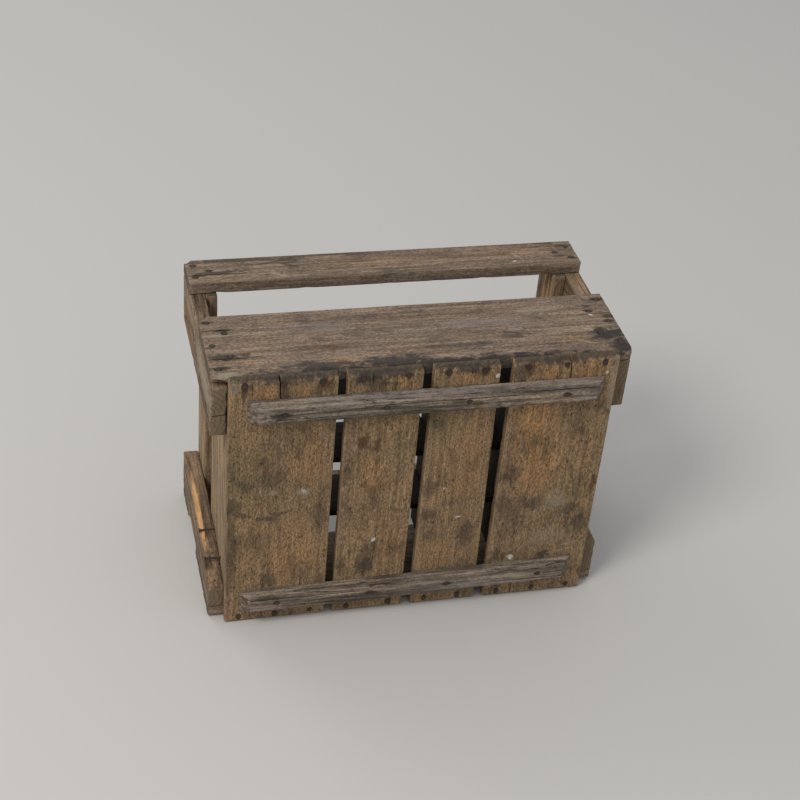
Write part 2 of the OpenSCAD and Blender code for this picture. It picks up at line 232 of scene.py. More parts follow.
def raise_grain(p, normals, axis, depth, seed):
    """Wears the soft wood between the grain lines, and the end grain more, always inwards."""
    stretch = [2.2, 2.2, 2.2]
    stretch[axis] = 60.0
    wave = [26.0, 26.0, 26.0]
    wave[axis] = 120.0
    ridges = 0.5 + 0.5 * noise(p, stretch, seed)
    hollows = np.clip(0.5 + 0.5 * layered(p, wave, seed + 11, 2), 0, 1)
    end = smooth_step(np.abs(normals[:, axis]), 0.6, 0.95)
    fuzz = 0.5 + 0.5 * layered(p, [14.0 if n == axis else 3.2 for n in range(3)], seed + 23, 2)
    return -(1 - end) * depth * (0.8 * ridges + 0.9 * hollows) - end * depth * 2.6 * np.clip(fuzz, 0, 1.4)


def open_cracks(p, normals, axis, cracks, seed):
    """How far the drying cracks sink each vertex.

    A crack is its axis across the board, place on it, start, end, depth, and its face's axis and side.
    """
    sunk = np.zeros(len(p))
    for across, place, start, end, depth, face, side in cracks:
        on = (np.abs(p[:, across] - place) < 0.3) & (normals[:, face] * side > 0.7)
        g = p[:, axis]
        level = smooth_step(g, start, start + 5) * (1 - smooth_step(g, end - 5, end))
        swell = 0.75 + 0.25 * noise(p, [9.0, 9.0, 9.0], seed + int(place))
        sunk = np.where(on, np.maximum(sunk, depth * level * swell), sunk)
    return sunk


def nail_heads(name):
    """Centre and axis of the head of each nail in a CAD node of nails.

    A nail's vertices share a label, which spreads over its triangles. Its head is its wider end.
    """
    p, tris = read_mesh(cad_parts[name])
    label = np.arange(len(p))
    while True:
        lowest = label[tris].min(1)
        new = label.copy()
        for column in range(3):
            np.minimum.at(new, tris[:, column], lowest)
        new = new[new]
        if (new == label).all():
            break
        label = new
    heads = []
    for value in np.unique(label):
        q = p[label == value]
        low, high = q.min(0), q.max(0)
        axis = int(np.argmax(high - low))
        other = (axis + 1) % 3
        widths = [np.ptp(q[np.abs(q[:, axis] - v) < 0.01][:, other]) for v in (low[axis], high[axis])]
        centre = (low + high) / 2
        centre[axis] = low[axis] if widths[0] > widths[1] else high[axis]
        heads.append((centre, axis))
    return heads


NAIL_NODES = ("floor_nails", "runner_nails", "side_nails_upper", "side_nails_lower", "post_nails")
heads = [head for name in NAIL_NODES for head in nail_heads(name)]


def nail_stain(p, axis, seed):
    """Iron stain and rust round each nail head, run out along the grain, as two columns from 0 to 1."""
    low, high = p.min(0) - 1, p.max(0) + 1
    stain = np.zeros((len(p), 2))
    for n, (centre, nail_axis) in enumerate(heads):
        if (centre < low).any() or (centre > high).any():
            continue
        pick = np.random.RandomState(seed * 131 + n)
        radii = np.full(3, 4.6 + 2.4 * pick.rand())
        radii[axis] *= 1.5 + 1.6 * pick.rand()
        radii[nail_axis] = 4.0
        strength = (0.35 + 0.5 * pick.rand(), 0.1 + 0.7 * pick.rand())
        near = np.flatnonzero((np.abs(p - centre) < radii).all(1))
        reach = np.sqrt((((p[near] - centre) / radii) ** 2).sum(1))
        for column in (0, 1):
            level = strength[column] * (1 - smooth_step(reach * (1 + 0.4 * column), 0.15, 1.0))
            stain[near, column] = np.maximum(stain[near, column], level)
    return stain


def make_piece(name, slot, axis, seed, material, cracks, along=5.0, across=2.3, radius=2.2, depth=0.28):
    """Weathers the CAD node called name into a new piece that stands for it.

    along and across are the cells' sizes, radius is that of the worn arrises, depth that of the grain.
    """
    extra = {}
    for crack in cracks:
        extra.setdefault(crack[0], []).extend(crack[1] + side for side in CRACK_PLANES)
    p, tris, low, high = cut_into_cells(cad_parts[name], axis, along, across, extra)
    wear = round_arrises(p, low, high, axis, radius, seed)
    p = soften(p, tris, wear)
    normals = vertex_normals(p, tris)
    stain = nail_stain(p, axis, seed)
    sunk = open_cracks(p, normals, axis, cracks, seed)
    p = p + normals * (raise_grain(p, normals, axis, depth, seed) - sunk)[:, None]
    p = np.clip(p, low, high)
    mesh = bpy.data.meshes.new("weathered_" + name)
    mesh.vertices.add(len(p))
    mesh.vertices.foreach_set("co", (p * MM + ORIGIN).astype(np.float32).ravel())
    mesh.loops.add(3 * len(tris))
    mesh.loops.foreach_set("vertex_index", tris.astype(np.int32).ravel())
    mesh.polygons.add(len(tris))
    mesh.polygons.foreach_set("loop_start", np.arange(0, 3 * len(tris), 3, dtype=np.int32))
    mesh.update(calc_edges=True)
    masks = {"wear": wear, "iron": stain[:, 0], "rust": stain[:, 1], "crack": np.minimum(sunk, 1)}
    for label, values in masks.items():
        layer = mesh.attributes.new(label, "FLOAT", "POINT")
        layer.data.foreach_set("value", values.astype(np.float32))
    mesh.shade_smooth()
    mesh.set_sharp_from_angle(angle=CREASE_ANGLE)
    mesh.materials.append(material)
    piece = bpy.data.objects.new("worn_" + name, mesh)
    bpy.context.scene.collection.objects.link(piece)
    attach(piece, "root")
    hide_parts(name)


# Materials

class Tree:
    """Short calls for the nodes of one material."""

    def __init__(self, name):
        self.material = bpy.data.materials.new(name)
        self.material.use_nodes = True
        self.nodes = self.material.node_tree.nodes
        self.links = self.material.node_tree.links
        self.shader = self.nodes["Principled BSDF"]

    def put(self, socket, value):
        if isinstance(value, bpy.types.NodeSocket):
            self.links.new(value, socket)
        elif isinstance(value, (tuple, list)) and len(value) == 3 and socket.type == "RGBA":
            socket.default_value = (*value, 1)
        else:
            socket.default_value = value

    def math(self, kind, a, b=0.0, clamp=False):
        node = self.nodes.new("ShaderNodeMath")
        node.operation = kind
        node.use_clamp = clamp
        self.put(node.inputs[0], a)
        self.put(node.inputs[1], b)
        return node.outputs[0]

    def vector(self, kind, a, b=(0, 0, 0)):
        node = self.nodes.new("ShaderNodeVectorMath")
        node.operation = kind
        self.put(node.inputs[0], a)
        self.put(node.inputs[1], b)
        return node.outputs["Value" if kind in ("LENGTH", "DOT_PRODUCT", "DISTANCE") else "Vector"]

    def split(self, vector):
        node = self.nodes.new("ShaderNodeSeparateXYZ")
        self.put(node.inputs[0], vector)
        return list(node.outputs)

    def join(self, x, y, z):
        node = self.nodes.new("ShaderNodeCombineXYZ")
        for socket, value in zip(node.inputs, (x, y, z)):
            self.put(socket, value)
        return node.outputs[0]

    def placed(self, vector, centre, turn, radii):
        """The vector as seen from an oval patch: 1 long at the patch's rim."""
        node = self.nodes.new("ShaderNodeMapping")
        node.vector_type = "TEXTURE"
        for socket, value in zip(node.inputs, (vector, centre, turn, radii)):
            self.put(socket, value)
        return node.outputs[0]

    def noise(self, vector, cell, detail=2.0, rough=0.5, distortion=0.0):
        """Noise from 0 to 1 whose features have the given size in millimetres."""
        node = self.nodes.new("ShaderNodeTexNoise")
        self.put(node.inputs["Vector"], self.vector("DIVIDE", vector, cell))
        self.put(node.inputs["Scale"], 1.0)
        self.put(node.inputs["Detail"], detail)
        self.put(node.inputs["Roughness"], rough)
        self.put(node.inputs["Distortion"], distortion)
        return node.outputs["Fac"]

    def range(self, value, low, high, to_low=0.0, to_high=1.0, smooth=True):
        node = self.nodes.new("ShaderNodeMapRange")
        node.interpolation_type = "SMOOTHSTEP" if smooth else "LINEAR"
        for socket, v in zip(node.inputs, (value, low, high, to_low, to_high)):
            self.put(socket, v)
        return node.outputs[0]

    def mix(self, factor, a, b, blend="MIX"):
        node = self.nodes.new("ShaderNodeMix")
        node.data_type = "RGBA"
        node.blend_type = blend
        self.put(node.inputs[0], factor)
        self.put(node.inputs[6], a)
        self.put(node.inputs[7], b)
        return node.outputs[2]

    def scaled(self, colour, value):
        """The colour, brighter or darker by the value."""
        return self.mix(1.0, colour, value, "MULTIPLY")

    def attribute(self, name):
        node = self.nodes.new("ShaderNodeAttribute")
        node.attribute_name = name
        return node.outputs["Fac"]

    def bump(self, height, distance, strength=1.0):
        node = self.nodes.new("ShaderNodeBump")
        self.put(node.inputs["Strength"], strength)
        self.put(node.inputs["Distance"], distance)
        self.put(node.inputs["Height"], height)
        return node.outputs[0]


NEAR_BLACK = (0.014, 0.010, 0.008)
IRON_STAIN = (0.040, 0.027, 0.018)
RUST_BROWN = (0.095, 0.040, 0.018)

# Kinds of mark, and how each changes the wood: blend and colour, in the order they are laid on
DARK, SOOT_AND_SHADE, RUST, PALE, WHITE, WARM, OLIVE, SILVER, FRESH = range(9)
LOOKS = {
    OLIVE: ("MULTIPLY", (0.76, 0.84, 0.80)),
    WARM: ("MULTIPLY", (1.30, 1.12, 0.92)),
    SILVER: ("MIX", (0.235, 0.205, 0.190)),
    DARK: ("MIX", (0.050, 0.037, 0.026)),
    # The sooty mark is partly dark grime and partly painted shade: painted shade along the wide slat's
    # front arris and front face, and a painted shadow line where the upper posts meet the end boards; it
    # also darkens the floor boards' top ends
    SOOT_AND_SHADE: ("MIX", (0.036, 0.031, 0.029)),
    RUST: ("MIX", RUST_BROWN),
    PALE: ("MIX", (0.330, 0.280, 0.205)),
    FRESH: ("MIX", (0.600, 0.335, 0.140)),
    # The white mark is partly pale specks and partly painted glints on nail heads
    WHITE: ("MIX", (0.560, 0.520, 0.450)),
}


def floor_mark(kind, x, z, wide, high, strength, turn=0.0):
    """A mark on a floor board's outer face: its centre, half sizes, strength, and turn in degrees."""
    return kind, (x, FLOOR_FACE, z), (0, math.radians(turn), 0), (wide, 9.0, high), strength


def runner_mark(kind, x, z, wide, high, strength, turn=0.0):
    """A mark on the outer face of a runner."""
    return kind, (x, RUNNER_FACE, z), (0, math.radians(turn), 0), (wide, 7.0, high), strength


def top_mark(kind, x, y, wide, deep, strength, turn=0.0):
    """A mark on the upper side of the slats."""
    return kind, (x, y, HEIGHT), (0, 0, math.radians(turn)), (wide, deep, 12.0), strength


def mark(kind, centre, radii, strength):
    """A mark anywhere on a piece."""
    return kind, centre, (0, 0, 0), radii, strength


class Palette:
    """The colours of one kind of board: its grain, weathered skin, blotches, worn edges and ends."""

    def __init__(self, light, dark, skin, blotch, worn, end):
        self.light, self.dark, self.skin = light, dark, skin
        self.blotch, self.worn, self.end = blotch, worn, end


FLOOR = Palette(light=(0.275, 0.176, 0.092), dark=(0.150, 0.090, 0.044), skin=(0.190, 0.128, 0.074),
                blotch=(0.080, 0.057, 0.037), worn=(0.30, 0.205, 0.115), end=(0.12, 0.088, 0.055))
SLAT = Palette(light=(0.262, 0.186, 0.128), dark=(0.102, 0.069, 0.046), skin=(0.200, 0.145, 0.106),
               blotch=(0.070, 0.055, 0.045), worn=(0.21, 0.16, 0.12), end=(0.14, 0.105, 0.074))
RUNNER = Palette(light=(0.250, 0.192, 0.140), dark=(0.076, 0.055, 0.040), skin=(0.205, 0.160, 0.126),
                 blotch=(0.058, 0.045, 0.035), worn=(0.22, 0.175, 0.135), end=(0.12, 0.09, 0.064))
POST = Palette(light=(0.270, 0.176, 0.100), dark=(0.088, 0.053, 0.030), skin=(0.185, 0.135, 0.088),
               blotch=(0.060, 0.042, 0.028), worn=(0.25, 0.18, 0.11), end=(0.230, 0.165, 0.100))
END = Palette(light=(0.350, 0.232, 0.130), dark=(0.140, 0.085, 0.042), skin=(0.240, 0.178, 0.114),
              blotch=(0.090, 0.064, 0.040), worn=(0.33, 0.245, 0.15), end=(0.16, 0.12, 0.075))
# Painted shade: the dividers' colours are a darkened copy of the wood, standing in for the shade inside
# the crate
INNER_PAINTED_SHADE = Palette(light=(0.040, 0.025, 0.014), dark=(0.014, 0.009, 0.006), skin=(0.022, 0.015, 0.010),
                blotch=(0.009, 0.007, 0.005), worn=(0.04, 0.027, 0.016), end=(0.022, 0.015, 0.010))


class Grain:
    """How one board's grain looks: ring spacing, and how strong each layer of weathering is."""

    def __init__(self, ring, grey, blotch, speckle, lines, checks, pores, rough=0.84):
        self.ring, self.grey, self.blotch, self.speckle = ring, grey, blotch, speckle
        self.lines, self.checks, self.pores, self.rough = lines, checks, pores, rough


def wood(name, axis, seed, palette, pith, grain, marks):
    """Weathered softwood whose grain runs along axis. pith is the tree's heart across the other two."""
    t = Tree(name)
    coordinates = t.nodes.new("ShaderNodeTexCoord").outputs["Object"]
    millimetres = t.vector("SUBTRACT", t.vector("DIVIDE", coordinates, (MM, MM, MM)), tuple(ORIGIN / MM))
    order = [axis, (axis + 1) % 3, (axis + 2) % 3]
    parts = t.split(millimetres)
    g, a, b = (parts[n] for n in order)
    moved = t.vector("ADD", t.join(g, a, b), (seed * 91.7, seed * 57.3, seed * 33.1))

    # Year rings round the pith, bent and ragged
    bend_a = t.range(t.noise(moved, (170, 45, 45), 1.0), 0, 1, -9, 9, smooth=False)
    aside = t.vector("ADD", moved, (17, 400, 90))
    bend_b = t.range(t.noise(aside, (130, 38, 38), 1.0), 0, 1, -7, 7, smooth=False)
    wiggle = t.range(t.noise(moved, (26, 7, 7), 2.0), 0, 1, -1.2, 1.2, smooth=False)
    off_a = t.math("ADD", t.math("SUBTRACT", a, pith[0]), bend_a)
    off_b = t.math("ADD", t.math("SUBTRACT", b, pith[1]), bend_b)
    radius = t.math("ADD", t.vector("LENGTH", t.join(0.0, off_a, off_b)), wiggle)
    rings = t.math("DIVIDE", radius, grain.ring)
    late = t.math("POWER", t.math("PINGPONG", rings, 1.0), 2.4)

    # Noises from a single fibre up to a patch of weathering
    fibre = t.noise(moved, (38, 1.5, 1.5), 3.0, 0.7)
    streak = t.noise(moved, (130, 5.5, 5.5), 3.0, 0.6)
    patch = t.noise(moved, (90, 42, 42), 4.0, 0.58)
    cloud = t.noise(t.vector("ADD", moved, (50, 9, 170)), (40, 21, 21), 5.0, 0.64, 0.6)
    speckle = t.noise(moved, (3.6, 1.9, 1.9), 2.0, 0.6)
    pores = t.noise(t.vector("ADD", moved, (9, 70, 4)), (6.5, 1.7, 1.7), 1.0)

    # Side grain: tone, grey skin, streaks, dust and pores, blotches and hairline checks
    fibre_tone = t.range(fibre, 0.34, 0.68, 0.0, 0.18 + 0.5 * grain.lines, smooth=False)
    tone = t.math("ADD", t.math("MULTIPLY", late, 0.30), fibre_tone)
    tone = t.math("ADD", tone, t.range(streak, 0.36, 0.66, -0.14, 0.36), clamp=True)
    colour = t.mix(tone, palette.light, palette.dark)
    skin = t.scaled(palette.skin, t.range(fibre, 0.3, 0.7, 1.25, 0.66, smooth=False))
    colour = t.mix(t.math("MULTIPLY", t.range(patch, 0.38, 0.60), grain.grey), colour, skin)
    colour = t.scaled(colour, t.range(streak, 0.30, 0.70, 1 + 0.45 * grain.lines, 1 - 0.45 * grain.lines))
    spread = 0.85 * grain.speckle
    colour = t.scaled(colour, t.range(speckle, 0.30, 0.70, 1 + spread, 1 - 0.72 * spread, smooth=False))
    stained = t.math("MULTIPLY", t.range(cloud, 0.50, 0.68), grain.blotch)
    colour = t.mix(stained, colour, palette.blotch)
    dots = t.math("MULTIPLY", t.range(pores, 0.62, 0.70), t.range(cloud, 0.36, 0.60, 0.25, 1.0))
    colour = t.mix(t.math("MULTIPLY", dots, grain.pores), colour, NEAR_BLACK)
    line = t.math("ABSOLUTE", t.math("SUBTRACT", t.noise(moved, (120, 6.5, 6.5), 2.0), 0.5))
    where = t.range(t.noise(t.vector("ADD", moved, (5, 300, 20)), (60, 22, 22), 2.0), 0.47, 0.60)
    check = t.math("MULTIPLY", t.range(line, 0.0, 0.013, 1.0, 0.0), where)
    colour = t.mix(t.math("MULTIPLY", check, grain.checks), colour, NEAR_BLACK)

    # Height of the fine relief that the bump shows
    height = t.math("ADD", t.math("MULTIPLY", late, 0.3), t.math("MULTIPLY", fibre, 0.9))
    height = t.math("SUBTRACT", height, t.math("MULTIPLY", speckle, 0.8 * grain.speckle))
    height = t.math("SUBTRACT", height, t.math("MULTIPLY", check, 1.8 * grain.checks))
    height = t.math("SUBTRACT", height, t.math("MULTIPLY", dots, grain.pores))

    # Worn arrises and end grain
    worn = t.attribute("wear")
    colour = t.mix(t.math("MULTIPLY", worn, t.range(fibre, 0.35, 0.65, 0.10, 0.75)), colour, palette.worn)

    facing = t.nodes.new("ShaderNodeNewGeometry").outputs["Normal"]
    ends = t.range(t.math("ABSOLUTE", t.vector("DOT_PRODUCT", facing, tuple(AXES[axis]))), 0.62, 0.9)
    cells = t.noise(moved, (6, 0.9, 0.9), 2.0, 0.6)
    cell_tone = t.range(cells, 0.3, 0.7, -0.1, 0.6)
    end_tone = t.math("ADD", t.math("MULTIPLY", late, 0.45), cell_tone, clamp=True)
    end_colour = t.mix(end_tone, palette.end, tuple(0.42 * c for c in palette.end))
    end_colour = t.mix(t.math("MULTIPLY", stained, 0.8), end_colour, palette.blotch)
    colour = t.mix(ends, colour, end_colour)

    # Oval marks with ragged rims, laid on by kind
    rim = t.noise(t.vector("ADD", moved, (3, 11, 60)), (13, 6.5, 6.5), 3.0, 0.6, 0.4)
    rim_level = t.range(rim, 0, 1, -1.2, 1.2, smooth=False)
    ragged = t.math("ADD", rim_level, t.range(fibre, 0, 1, -0.35, 0.35, smooth=False))
    found = {}
    for kind, centre, turn, radii, strength in marks:
        rim = t.math("MULTIPLY", ragged, 0.25) if kind == FRESH else ragged
        reach = t.math("ADD", t.vector("LENGTH", t.placed(millimetres, centre, turn, radii)), rim)
        level = t.range(reach, 0.45, 1.05, strength, 0.0)
        found[kind] = t.math("MAXIMUM", found[kind], level) if kind in found else level
    for kind, (blend, look) in LOOKS.items():
        if kind in found:
            colour = t.mix(found[kind], colour, look, blend)

    # Iron stain and rust round the nails, and the dark of the cracks
    iron_edge = t.math("SUBTRACT", t.attribute("iron"), t.math("MULTIPLY", ragged, 0.42))
    iron = t.range(iron_edge, 0.18, 0.62, 0.0, 0.88)
    rust_edge = t.math("SUBTRACT", t.attribute("rust"), t.math("MULTIPLY", ragged, 0.35))
    rust = t.range(rust_edge, 0.28, 0.66, 0.0, 0.80)
    nailed = t.range(t.attribute("iron"), 0.02, 0.12)
    colour = t.mix(t.math("MULTIPLY", iron, nailed), colour, IRON_STAIN)
    colour = t.mix(t.math("MULTIPLY", rust, nailed), colour, RUST_BROWN)
    colour = t.mix(t.range(t.attribute("crack"), 0.15, 0.9, 0.0, 0.95), colour, NEAR_BLACK)

    t.put(t.shader.inputs["Base Color"], colour)
    roughness = t.range(fibre, 0.2, 0.8, grain.rough - 0.1, grain.rough + 0.1, smooth=False)
    t.put(t.shader.inputs["Roughness"], roughness)
    t.put(t.shader.inputs["Specular IOR Level"], 0.3)
    t.put(t.shader.inputs["Normal"], t.bump(height, 0.6 * MM, 0.85))
    return t.material


def rusty_iron():
    """Crusty nail iron that differs from nail to nail."""
    t = Tree("rusty_nail_iron")
    here = t.vector("DIVIDE", t.nodes.new("ShaderNodeTexCoord").outputs["Object"], (MM, MM, MM))
    crust = t.noise(here, (2.2, 2.2, 2.2), 4.0, 0.65)
    fine = t.noise(here, (0.7, 0.7, 0.7), 3.0, 0.6)
    each = t.noise(here, (37, 37, 37), 0.0)
    colour = t.mix(t.range(crust, 0.38, 0.62), (0.030, 0.021, 0.015), (0.072, 0.036, 0.019))
    colour = t.mix(t.range(fine, 0.58, 0.72), colour, (0.125, 0.066, 0.034))
    colour = t.mix(t.range(each, 0.45, 0.7, 0.0, 0.7), colour, (0.024, 0.020, 0.019))
    t.put(t.shader.inputs["Base Color"], colour)
    t.put(t.shader.inputs["Roughness"], t.range(crust, 0.3, 0.7, 0.55, 0.85, smooth=False))
    t.put(t.shader.inputs["Normal"], t.bump(t.math("ADD", crust, fine), 0.35 * MM, 0.7))
    return t.material


# Marks and drying cracks on the boards

